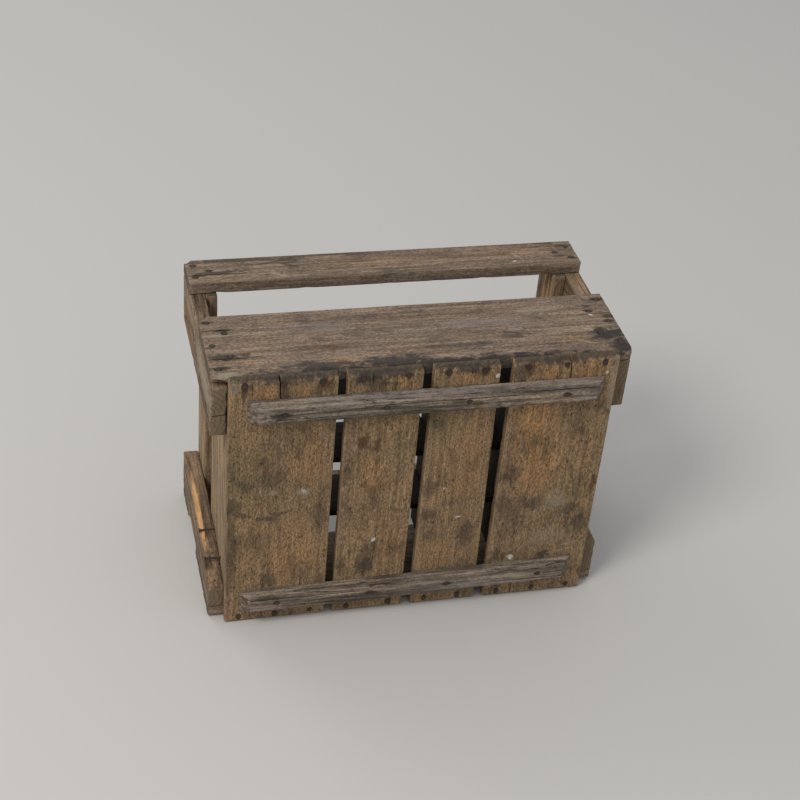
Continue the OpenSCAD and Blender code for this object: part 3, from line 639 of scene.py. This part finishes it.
board_marks = {
    "floor_board_1": [
        floor_mark(SOOT_AND_SHADE, 85, 368, 80, 13, 0.75),
        floor_mark(DARK, 37, 352, 6, 13, 0.70),
        floor_mark(DARK, 82, 350, 7, 22, 0.65),
        floor_mark(RUST, 128, 356, 8, 9, 0.85),
        floor_mark(DARK, 126, 352, 16, 15, 0.55),
        floor_mark(WARM, 60, 348, 18, 12, 0.60),
        floor_mark(WARM, 105, 348, 13, 12, 0.65),
        floor_mark(PALE, 25, 356, 8, 12, 0.45),
        floor_mark(WARM, 18, 270, 3, 90, 0.85),
        floor_mark(OLIVE, 40, 225, 42, 60, 0.85),
        floor_mark(DARK, 72, 226, 20, 17, 0.42),
        floor_mark(RUST, 57, 243, 13, 16, 0.20),
        floor_mark(OLIVE, 88, 285, 30, 26, 0.60),
        floor_mark(WARM, 110, 250, 30, 55, 0.45),
        floor_mark(WARM, 100, 120, 42, 60, 0.40),
        floor_mark(PALE, 109, 202, 11, 8, 0.55, 20),
        floor_mark(WHITE, 110, 202, 5, 4, 0.55, 20),
        floor_mark(PALE, 74, 202, 9, 4, 0.40),
        floor_mark(DARK, 36, 172, 18, 5, 0.62, 22),
        floor_mark(DARK, 63, 163, 20, 4.5, 0.60),
        floor_mark(DARK, 86, 170, 14, 4.5, 0.50, -24),
        floor_mark(DARK, 28, 184, 14, 15, 0.50),
        floor_mark(DARK, 24, 110, 9, 75, 0.45),
        floor_mark(DARK, 133, 160, 10, 28, 0.48),
        floor_mark(DARK, 74, 66, 14, 15, 0.50),
        floor_mark(RUST, 122, 92, 12, 22, 0.20),
        floor_mark(DARK, 50, 130, 34, 18, 0.30),
    ],
    "floor_board_2": [
        floor_mark(SOOT_AND_SHADE, 200, 366, 52, 14, 0.78),
        floor_mark(OLIVE, 196, 350, 44, 12, 0.80),
        floor_mark(DARK, 170, 358, 16, 8, 0.60),
        floor_mark(DARK, 203, 350, 12, 3, 0.62, 12),
        floor_mark(WARM, 222, 352, 16, 9, 0.75),
        floor_mark(RUST, 178, 267, 8, 10, 0.85),
        floor_mark(RUST, 196, 262, 6, 11, 0.68),
        floor_mark(OLIVE, 226, 250, 20, 40, 0.70),
        floor_mark(WARM, 190, 215, 15, 42, 0.60),
        floor_mark(RUST, 208, 205, 12, 17, 0.22),
        floor_mark(PALE, 217, 180, 1.6, 16, 0.55),
        floor_mark(DARK, 160, 225, 10, 20, 0.40),
        floor_mark(WHITE, 200, 115, 3.4, 3.2, 1.0),
        floor_mark(DARK, 202, 104, 1.8, 12, 0.70),
        floor_mark(DARK, 193, 76, 12, 20, 0.72),
        floor_mark(DARK, 161, 80, 9, 14, 0.45),
        floor_mark(DARK, 178, 150, 22, 40, 0.25),
        floor_mark(WARM, 222, 100, 20, 40, 0.40),
    ],
    "floor_board_3": [
        floor_mark(SOOT_AND_SHADE, 296, 366, 46, 11, 0.75),
        floor_mark(RUST, 317, 357, 9, 9, 0.75),
        floor_mark(DARK, 314, 356, 14, 12, 0.50),
        floor_mark(DARK, 272, 360, 6, 7, 0.80),
        floor_mark(WARM, 296, 350, 22, 9, 0.75),
        # Pale speck that is also a painted glint on a nail head
        floor_mark(WHITE, 332, 350, 4.2, 3.8, 1.0),
        floor_mark(OLIVE, 275, 286, 30, 34, 0.75),
        floor_mark(WARM, 312, 225, 24, 60, 0.45),
        floor_mark(DARK, 268, 189, 16, 15, 0.50),
        floor_mark(DARK, 268, 146, 13, 12, 0.66),
        floor_mark(DARK, 316, 112, 15, 24, 0.56),
        floor_mark(DARK, 276, 112, 11, 10, 0.40),
        floor_mark(WHITE, 305, 140, 6, 1.7, 0.80),
        floor_mark(WHITE, 283, 187, 1.8, 1.8, 0.75),
        floor_mark(WARM, 285, 80, 24, 28, 0.40),
        floor_mark(DARK, 318, 62, 12, 10, 0.40),
    ],
    "floor_board_4": [
        floor_mark(SOOT_AND_SHADE, 405, 368, 62, 9, 0.75),
        floor_mark(SOOT_AND_SHADE, 361, 352, 13, 22, 0.62),
        floor_mark(RUST, 371, 357, 7, 11, 0.80),
        floor_mark(WARM, 398, 350, 24, 12, 0.75),
        floor_mark(WARM, 446, 350, 20, 14, 0.65),
        floor_mark(PALE, 477, 330, 6, 60, 0.42),
        floor_mark(WARM, 386, 285, 32, 60, 0.85),
        floor_mark(WARM, 395, 210, 34, 55, 0.75),
        floor_mark(OLIVE, 440, 290, 34, 46, 0.45),
        floor_mark(DARK, 364, 200, 19, 17, 0.58),
        floor_mark(DARK, 398, 152, 20, 13, 0.62),
        floor_mark(DARK, 362, 150, 13, 24, 0.50),
        floor_mark(DARK, 450, 138, 15, 11, 0.62),
        floor_mark(OLIVE, 452, 170, 34, 36, 0.70),
        floor_mark(PALE, 430, 150, 22, 18, 0.38),
        floor_mark(PALE, 424, 95, 26, 16, 0.25),
        floor_mark(RUST, 475, 176, 5, 18, 0.90),
        floor_mark(OLIVE, 464, 112, 16, 24, 0.95),
        floor_mark(DARK, 466, 112, 11, 18, 0.50),
        floor_mark(DARK, 426, 66, 9, 5.5, 0.75),
        floor_mark(DARK, 362, 66, 14, 12, 0.50),
        floor_mark(PALE, 452, 78, 18, 1.6, 0.60, -12),
        floor_mark(PALE, 448, 69, 20, 1.5, 0.55, -10),
        # Painted highlight: a bright ring with a dark middle for a glinting nail head
        floor_mark(WHITE, 381, 65, 5.2, 4.6, 0.95),
        floor_mark(DARK, 381, 64.5, 2.7, 2.3, 0.90),
        floor_mark(WHITE, 467, 344, 2.6, 2.6, 0.90),
    ],
    "runner_upper": [
        runner_mark(DARK, 73, 324, 16, 6.5, 0.92),
        runner_mark(DARK, 84, 322, 34, 4, 0.60),
        runner_mark(RUST, 44, 328, 12, 9, 0.28),
        runner_mark(PALE, 56, 333, 18, 4, 0.50, 18),
        runner_mark(OLIVE, 200, 322, 150, 12, 0.85),
        runner_mark(DARK, 286, 327, 12, 4, 0.70),
        runner_mark(RUST, 307, 323, 9, 4, 0.55),
        runner_mark(DARK, 250, 314, 190, 4, 0.55),
        runner_mark(DARK, 450, 329, 14, 4, 0.50),
        runner_mark(WARM, 400, 322, 44, 8, 0.50),
        mark(SILVER, (240, RUNNER_FACE + 4, 340), (170, 9, 6), 0.80),
        mark(SILVER, (420, RUNNER_FACE + 4, 340), (60, 9, 6), 0.62),
        mark(DARK, (332, RUNNER_FACE + 5, 340), (16, 6, 5), 0.60),
    ],
    "runner_lower": [
        runner_mark(PALE, 374, 46, 30, 4, 0.75),
        runner_mark(PALE, 274, 47, 26, 3, 0.50),
        runner_mark(DARK, 70, 46, 16, 5, 0.80),
        runner_mark(DARK, 250, 30, 180, 5, 0.50),
        runner_mark(OLIVE, 452, 34, 16, 16, 0.90),
        runner_mark(SILVER, 330, 36, 110, 9, 0.40),
        runner_mark(RUST, 150, 52, 110, 4, 0.28),
    ],
    "side_slat_wide_upper": [
        # Painted shade with grime: a dark band along the wide slat's front arris and down its front face
        top_mark(SOOT_AND_SHADE, 262, -1, 236, 12, 0.92),
        top_mark(SOOT_AND_SHADE, 130, 8, 60, 9, 0.80),
        top_mark(SOOT_AND_SHADE, 215, 9, 60, 12, 0.86),
        mark(SOOT_AND_SHADE, (262, -1, 358), (238, 6, 16), 0.85),
        # Painted highlight on the worn chamfer at the slat's left front corner, partly worn wood
        top_mark(PALE, 20, 3, 22, 4.5, 0.75),
        # Painted shade in the recess under the chipped corner
        mark(DARK, (16, -2, 353), (14, 8, 9), 0.80),
        top_mark(DARK, 8, 109, 9, 3.2, 0.85),
        top_mark(DARK, 26, 90, 16, 3.4, 0.90),
        top_mark(PALE, 18, 80, 20, 3.5, 0.50),
        top_mark(OLIVE, 30, 78, 34, 8, 0.70),
        top_mark(PALE, 6, 61, 6, 3.2, 0.65),
        top_mark(DARK, 6, 57, 7, 2.4, 0.90),
        top_mark(DARK, 26, 36, 30, 8, 0.85),
        top_mark(SOOT_AND_SHADE, 30, 31, 22, 4, 0.75),
        top_mark(DARK, 12, 14, 15, 5, 0.85),
        top_mark(WARM, 38, 24, 34, 5, 0.55),
        top_mark(RUST, 146, 42, 14, 7, 0.60),
        top_mark(DARK, 118, 48, 14, 9, 0.32),
        top_mark(WARM, 156, 15, 22, 5, 1.0),
        top_mark(WARM, 440, 30, 28, 9, 1.0),
        top_mark(PALE, 446, 22, 16, 2.6, 0.60, -22),
        top_mark(PALE, 409, 93, 34, 7, 0.50),
        top_mark(PALE, 370, 56, 14, 4, 0.50),
        top_mark(SILVER, 330, 72, 70, 12, 0.40),
        top_mark(SILVER, 130, 84, 60, 12, 0.30),
        top_mark(OLIVE, 250, 62, 60, 40, 0.50),
        top_mark(DARK, 362, 44, 16, 11, 0.55),
        top_mark(DARK, 300, 30, 60, 7, 0.45),
        top_mark(DARK, 250, 100, 150, 6, 0.30),
        top_mark(DARK, 474, 95, 12, 3.4, 0.85),
        top_mark(DARK, 490, 110, 10, 2.8, 0.80),
        top_mark(PALE, 471, 76, 10, 1.5, 0.75, -40),
        top_mark(WHITE, 472, 76, 2.2, 2.2, 0.95),
        top_mark(DARK, 493, 70, 11, 5, 0.85),
        top_mark(SOOT_AND_SHADE, 478, 34, 26, 16, 0.95),
        top_mark(SOOT_AND_SHADE, 492, 12, 18, 18, 0.90),
        top_mark(OLIVE, 492, 52, 12, 22, 0.90),
        top_mark(PALE, 488, 52, 12, 2, 0.45, 10),
    ],
    "side_slat_narrow_upper": [
        top_mark(DARK, 36, 215, 44, 5, 0.85, 8),
        top_mark(DARK, 60, 243, 60, 5, 0.60),
        top_mark(OLIVE, 80, 226, 110, 20, 0.60),
        top_mark(DARK, 128, 226, 22, 2.6, 0.60, -30),
        top_mark(DARK, 112, 236, 30, 2.6, 0.55, 14),
        top_mark(PALE, 110, 206, 12, 3.5, 0.55, -30),
        top_mark(WARM, 250, 224, 130, 14, 0.45),
        top_mark(DARK, 220, 244, 120, 3, 0.45),
        top_mark(DARK, 300, 204, 140, 3, 0.40),
        top_mark(WARM, 420, 230, 70, 16, 0.55),
        top_mark(PALE, 419, 220, 1.6, 13, 0.85, 30),
        top_mark(WHITE, 414, 206, 3.2, 2.6, 0.80),
        top_mark(DARK, 476, 213, 14, 3.4, 0.88),
        top_mark(DARK, 492, 207, 9, 3, 0.85),
        top_mark(DARK, 486, 237, 11, 3, 0.80),
        top_mark(DARK, 464, 246, 20, 3, 0.70),
    ],
    "post_lower_left": [
        mark(FRESH, (4.6, 128, 68), (3.6, 92, 30), 1.0),
        mark(RUST, (14, 100, 68), (7, 120, 20), 0.35),
        mark(DARK, (8, 2, 64), (6, 5, 10), 0.85),
        mark(DARK, (10, 60, 72), (3, 40, 9), 0.45),
        mark(DARK, (12, 150, 18), (14, 60, 20), 0.40),
    ],
    "post_upper_left": [
        mark(PALE, (-1, 60, 325), (5, 90, 26), 0.70),
        mark(DARK, (-1, 40, 300), (5, 60, 6), 0.45),
        mark(PALE, (0, 190, 340), (5, 60, 16), 0.35),
        # Painted shadow line down the post's front where it meets the end board
        mark(SOOT_AND_SHADE, (19.5, 0, 318), (2.4, 4, 48), 1.0),
    ],
    "post_upper_right": [
        # Painted shadow line down the post's front where it meets the end board
        mark(SOOT_AND_SHADE, (LENGTH - 19.5, 0, 318), (2.4, 4, 48), 1.0),
        mark(RUST, (LENGTH - 8, 0, 306), (5, 5, 8), 0.5),
    ],
    "end_board_narrow_right": [
        mark(WARM, (LENGTH - 35, 215, 330), (8, 24, 60), 1.0),
        mark(DARK, (LENGTH - 35, 206, 330), (8, 2.2, 60), 0.8),
    ],
    "end_board_wide_left": [
        mark(PALE, (20, 2, 180), (8, 8, 120), 0.35),
        mark(DARK, (24, 4, 300), (8, 14, 40), 0.30),
    ],
}


def floor_crack(x, start, end, depth):
    """A drying crack up a floor board's outer face."""
    return X, x, start, end, depth, Y, -1


def runner_crack(z, start, end, depth):
    return Z, z, start, end, depth, Y, -1


def top_crack(y, start, end, depth):
    """A crack along the upper side of a slat."""
    return Y, y, start, end, depth, Z, 1


def post_crack(z, start, end, depth, side):
    """A crack along the outer face of a post, on the crate's left (-1) or right (1)."""
    return Z, z, start, end, depth, X, side


board_cracks = {
    "floor_board_1": [
        floor_crack(77.6, 334, 372, 2.6),
        floor_crack(112.0, 28, 66, 1.6),
        floor_crack(46.0, 340, 372, 1.2),
    ],
    "floor_board_2": [floor_crack(184.0, 346, 372, 1.4), floor_crack(228.0, -4, 40, 1.8)],
    "floor_board_3": [floor_crack(301.0, 350, 372, 1.2)],
    "floor_board_4": [floor_crack(421.5, 336, 372, 3.0), floor_crack(388.0, -4, 46, 1.6)],
    "runner_upper": [
        runner_crack(329.0, 180, 360, 1.2),
        runner_crack(318.0, 60, 250, 1.0),
        runner_crack(333.0, 380, 472, 1.4),
    ],
    "runner_lower": [runner_crack(44.0, 30, 190, 1.3), runner_crack(37.0, 250, 420, 1.0)],
    "side_slat_wide_upper": [
        top_crack(91.0, -4, 40, 1.8),
        top_crack(33.0, -4, 66, 2.0),
        top_crack(79.0, 455, 504, 1.8),
        top_crack(109.0, 470, 504, 1.6),
        top_crack(21.0, 300, 420, 0.9),
    ],
    "side_slat_narrow_upper": [
        top_crack(213.0, -4, 74, 1.8),
        top_crack(237.0, 440, 504, 1.6),
        top_crack(226.0, 120, 240, 1.0),
    ],
    "post_upper_left": [post_crack(312.0, -4, 130, 1.8, -1), post_crack(334.0, 60, 253, 1.4, -1)],
    "post_lower_left": [post_crack(30.0, 20, 200, 1.6, -1), post_crack(52.0, 90, 253, 1.4, -1)],
    "post_upper_right": [post_crack(320.0, 30, 253, 1.6, 1)],
    "post_lower_right": [post_crack(44.0, -4, 160, 1.6, 1)],
}


# Pieces, board by board

FLOOR_WEAR = dict(grey=0.50, blotch=0.60, speckle=0.78, lines=0.14, checks=0.15, pores=0.75)
FLOOR_RINGS = (3.6, 2.9, 3.3, 4.2)
FLOOR_PITHS = ((-70, 40), (-30, 250), (26, 300), (-90, 410))
SLAT_GRAIN = Grain(3.8, grey=0.60, blotch=0.50, speckle=0.65, lines=0.28, checks=0.45, pores=0.40)
NARROW_GRAIN = Grain(3.1, grey=0.35, blotch=0.45, speckle=0.60, lines=0.38, checks=0.45, pores=0.35)
RUNNER_GRAIN = Grain(2.6, grey=0.60, blotch=0.40, speckle=0.50, lines=0.90, checks=0.90, pores=0.50)
POST_GRAIN = Grain(2.7, grey=0.45, blotch=0.55, speckle=0.40, lines=0.80, checks=0.90, pores=0.40)
END_GRAIN = Grain(3.5, grey=0.40, blotch=0.35, speckle=0.40, lines=0.60, checks=0.50, pores=0.40)
INNER_GRAIN = Grain(3.0, grey=0.30, blotch=0.40, speckle=0.35, lines=0.50, checks=0.40, pores=0.20)
THIN_BOARD = dict(along=9.0, across=3.4, radius=1.2, depth=0.15)


def make_board(name, slot, axis, seeds, palette, pith, grain, **shape):
    """One board of the crate, with its marks and cracks. seeds are those of its grain and its shape."""
    material = wood(name, axis, seeds[0], palette, pith, grain, board_marks.get(name, ()))
    make_piece(name, slot, axis, seeds[1], material, board_cracks.get(name, ()), **shape)


for n, (ring, pith) in enumerate(zip(FLOOR_RINGS, FLOOR_PITHS)):
    name = f"floor_board_{n + 1}"
    make_board(name, "floor_wood", Z, (11 + n, 101 + n), FLOOR, pith, Grain(ring, **FLOOR_WEAR))

SIDES = (("upper", HEIGHT, (-60, 280)), ("lower", 0, (-10, 2)))
for n, (side, edge, runner_pith) in enumerate(SIDES):
    name = f"runner_{side}"
    make_board(name, "runner_wood", X, (31 + n, 131 + n), RUNNER, runner_pith, RUNNER_GRAIN, radius=1.6)
    name = f"side_slat_wide_{side}"
    make_board(name, "slat_wood", X, (41 + n, 141 + n), SLAT, (40, edge - 55), SLAT_GRAIN, radius=2.4)
    name = f"side_slat_narrow_{side}"
    make_board(name, "slat_wood", X, (51 + n, 151 + n), SLAT, (300, edge - 40), NARROW_GRAIN, radius=2.2)

POST_PLACES = (("upper", "left"), ("upper", "right"), ("lower", "left"), ("lower", "right"))
for n, (side, end) in enumerate(POST_PLACES):
    pith = (HEIGHT - 60 if side == "upper" else 40, -20 if end == "left" else LENGTH + 30)
    make_board(f"post_{side}_{end}", "post_wood", Y, (61 + n, 161 + n), POST, pith, POST_GRAIN, across=2.1)

END_PLACES = (("wide", "left"), ("narrow", "left"), ("wide", "right"), ("narrow", "right"))
for n, (width, end) in enumerate(END_PLACES):
    pith = (80 if end == "left" else LENGTH - 90, 60)
    name = f"end_board_{width}_{end}"
    make_board(name, "end_wood", Z, (71 + n, 171 + n), END, pith, END_GRAIN, across=2.8, along=6.0)

# The dividers take the darkened inner colours, painted shade for the inside of the crate
for n in range(3):
    name = f"long_divider_{n + 1}"
    pith = (20, 90 * n + 150)
    make_board(name, "divider_wood", X, (81 + n, 181 + n), INNER_PAINTED_SHADE, pith, INNER_GRAIN, **THIN_BOARD)

for n in range(4):
    name = f"cross_divider_{n + 1}"
    pith = (90 * n + 40, 20)
    make_board(name, "divider_wood", Z, (91 + n, 191 + n), INNER_PAINTED_SHADE, pith, INNER_GRAIN, **THIN_BOARD)

iron = rusty_iron()
for name in NAIL_NODES + ("divider_brads",):
    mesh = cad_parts[name].data
    for n in range(len(mesh.materials)):
        mesh.materials[n] = iron


# Floor, lights and camera

FLOOR_COLOUR = (0.60, 0.58, 0.55)
FLOOR_REACH, FLOOR_LEVEL = 14.0, -0.0002
SKY_COLOUR, SKY_STRENGTH = (0.93, 0.96, 1.0, 1), 0.58
LIGHT_AIM = Vector((0, 0, 0.15))
floor_mesh = bpy.data.meshes.new("studio_floor")
signs = ((-1, -1), (1, -1), (1, 1), (-1, 1))
corners = [(x * FLOOR_REACH, y * FLOOR_REACH, FLOOR_LEVEL) for x, y in signs]
floor_mesh.from_pydata(corners, [], [(0, 1, 2, 3)])
floor_piece = bpy.data.objects.new("studio_floor", floor_mesh)
bpy.context.scene.collection.objects.link(floor_piece)
t = Tree("studio_floor")
t.put(t.shader.inputs["Base Color"], FLOOR_COLOUR)
t.put(t.shader.inputs["Roughness"], 0.95)
t.put(t.shader.inputs["Specular IOR Level"], 0.1)
floor_mesh.materials.append(t.material)

world = bpy.data.worlds.new("studio_sky")
world.use_nodes = True
sky = world.node_tree.nodes["Background"].inputs
sky["Color"].default_value = SKY_COLOUR
sky["Strength"].default_value = SKY_STRENGTH
bpy.context.scene.world = world


def soft_light(name, place, size, watts, colour):
    """A round area light aimed at the crate."""
    data = bpy.data.lights.new(name, "AREA")
    data.shape = "DISK"
    data.size = size
    data.energy = watts
    data.color = colour
    lamp = bpy.data.objects.new(name, data)
    bpy.context.scene.collection.objects.link(lamp)
    lamp.location = place
    aim = LIGHT_AIM - Vector(place)
    lamp.rotation_euler = aim.to_track_quat("-Z", "Y").to_euler()


soft_light("key", (-2.2, -1.6, 3.2), 1.4, 70, (1.0, 0.97, 0.93))
soft_light("back_left", (-1.8, 2.4, 2.6), 1.8, 16, (1.0, 0.98, 0.95))

CAMERA_PLACE = Vector((-0.46156, -1.6001, 1.43535))
YAW, PITCH, ROLL = 0.2827, -0.6255, 0.0957
FOCAL_PIXELS, FRAME_PIXELS, SENSOR = 1648.6, 800, 36.0
CLIP = (0.05, 60)
forward = Vector((math.sin(YAW) * math.cos(PITCH), math.cos(YAW) * math.cos(PITCH), math.sin(PITCH)))
level = Vector((math.cos(YAW), -math.sin(YAW), 0))
upward = level.cross(forward)
right = level * math.cos(ROLL) + upward * math.sin(ROLL)
above = -level * math.sin(ROLL) + upward * math.cos(ROLL)
camera_data = bpy.data.cameras.new("photo_view")
camera_data.sensor_width = SENSOR
camera_data.sensor_height = SENSOR
camera_data.sensor_fit = "HORIZONTAL"
camera_data.lens = FOCAL_PIXELS / FRAME_PIXELS * SENSOR
camera_data.clip_start, camera_data.clip_end = CLIP
camera = bpy.data.objects.new("photo_view", camera_data)
bpy.context.scene.collection.objects.link(camera)
turn = Matrix((right, above, -forward)).transposed()
camera.matrix_world = Matrix.Translation(CAMERA_PLACE) @ turn.to_4x4()
bpy.context.scene.camera = camera
bpy.context.scene.view_settings.view_transform = "Standard"
